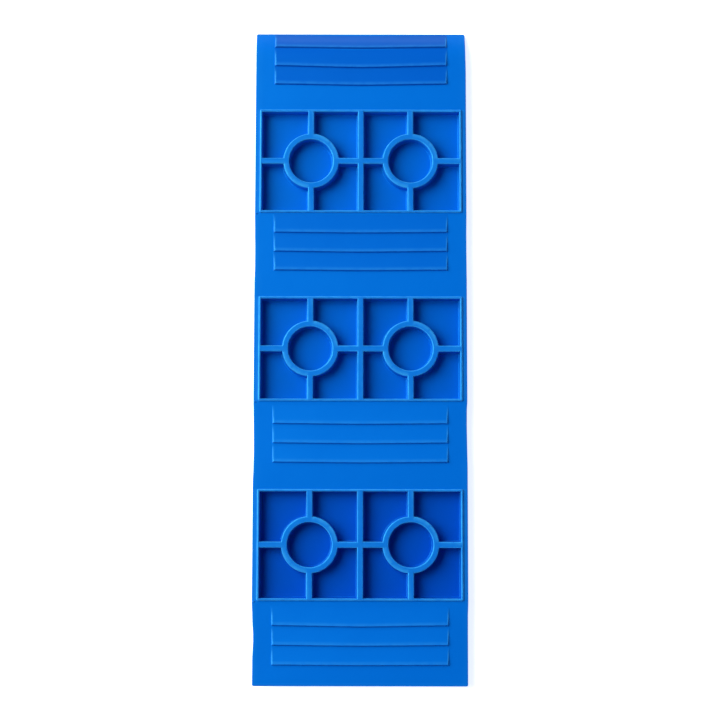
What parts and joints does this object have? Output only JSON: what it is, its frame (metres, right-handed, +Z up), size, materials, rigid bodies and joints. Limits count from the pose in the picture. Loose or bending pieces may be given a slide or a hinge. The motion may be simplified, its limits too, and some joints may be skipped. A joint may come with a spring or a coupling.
{
  "type": "tire traction mat",
  "caption": "Folding flexible traction mat for a stuck car tyre: shallow ribbed boxes with rings, joined by sheet panels with wedge teeth and flat fold bands.",
  "frame": {"origin": "on the ground, under the middle of the mat's length and width", "axes": "+X across the mat, +Y along it towards the curled lead lip, +Z up, open side of the boxes up"},
  "size_m": [0.2, 0.617, 0.0133],
  "materials": {
    "blue_rubber": "satin"
  },
  "bodies": {
    "module_2": {"tooth_panel_2": "blue_rubber", "teeth_2": "blue_rubber", "box_flange_2": "blue_rubber", "box_walls_2": "blue_rubber", "box_floor_2": "blue_rubber", "centre_rib_2": "blue_rubber", "cross_ribs_2": "blue_rubber", "rings_2": "blue_rubber"},
    "fold_band_2": {"fold_band_2": "blue_rubber"},
    "module_1": {"tooth_panel_1": "blue_rubber", "teeth_1": "blue_rubber", "box_flange_1": "blue_rubber", "box_walls_1": "blue_rubber", "box_floor_1": "blue_rubber", "centre_rib_1": "blue_rubber", "cross_ribs_1": "blue_rubber", "rings_1": "blue_rubber"},
    "fold_band_1": {"fold_band_1": "blue_rubber"},
    "lead_panel": {"lead_panel": "blue_rubber", "lead_teeth": "blue_rubber"},
    "lead_lip": {"lead_lip": "blue_rubber", "lip_tooth": "blue_rubber"},
    "fold_band_3": {"fold_band_3": "blue_rubber"},
    "module_3": {"tooth_panel_3": "blue_rubber", "teeth_3": "blue_rubber", "box_flange_3": "blue_rubber", "box_walls_3": "blue_rubber", "box_floor_3": "blue_rubber", "centre_rib_3": "blue_rubber", "cross_ribs_3": "blue_rubber", "rings_3": "blue_rubber"},
    "tail_flap": {"tail_flap": "blue_rubber"}
  },
  "joints": [
    {"name": "fold_2", "type": "hinge", "parent": "module_2", "child": "fold_band_2", "pos_m": [0, 0.05428, 0.01025], "axis": [-1, 0, 0], "range_deg": [-90, 90], "stiffness_Nm_per_rad": 0.9},
    {"name": "fold_2_far", "type": "hinge", "parent": "fold_band_2", "child": "module_1", "pos_m": [0, 0.07579, 0.01025], "axis": [-1, 0, 0], "range_deg": [-90, 90], "stiffness_Nm_per_rad": 0.9},
    {"name": "fold_1", "type": "hinge", "parent": "module_1", "child": "fold_band_1", "pos_m": [0, 0.23328, 0.01025], "axis": [1, 0, 0], "range_deg": [-90, 90], "stiffness_Nm_per_rad": 0.9},
    {"name": "fold_1_far", "type": "hinge", "parent": "fold_band_1", "child": "lead_panel", "pos_m": [0, 0.25478, 0.01025], "axis": [1, 0, 0], "range_deg": [-90, 90], "stiffness_Nm_per_rad": 0.9},
    {"name": "lip_flex", "type": "hinge", "parent": "lead_panel", "child": "lead_lip", "pos_m": [0, 0.29079, 0.01025], "axis": [-1, 0, 0], "range_deg": [-27.3, 20], "stiffness_Nm_per_rad": 0.9},
    {"name": "fold_3", "type": "hinge", "parent": "module_2", "child": "fold_band_3", "pos_m": [0, -0.10482, 0.01025], "axis": [-1, 0, 0], "range_deg": [-90, 90], "stiffness_Nm_per_rad": 0.9},
    {"name": "fold_3_far", "type": "hinge", "parent": "fold_band_3", "child": "module_3", "pos_m": [0, -0.12632, 0.01025], "axis": [-1, 0, 0], "range_deg": [-90, 90], "stiffness_Nm_per_rad": 0.9},
    {"name": "flap_flex", "type": "hinge", "parent": "module_3", "child": "tail_flap", "pos_m": [0, -0.29102, 0.01025], "axis": [-1, 0, 0], "range_deg": [-60, 60], "stiffness_Nm_per_rad": 0.9}
  ],
  "couplings": [
    {"joint": "fold_1_far", "follows": "fold_1", "ratio": 1},
    {"joint": "fold_2_far", "follows": "fold_2", "ratio": 1},
    {"joint": "fold_3_far", "follows": "fold_3", "ratio": 1}
  ]
}
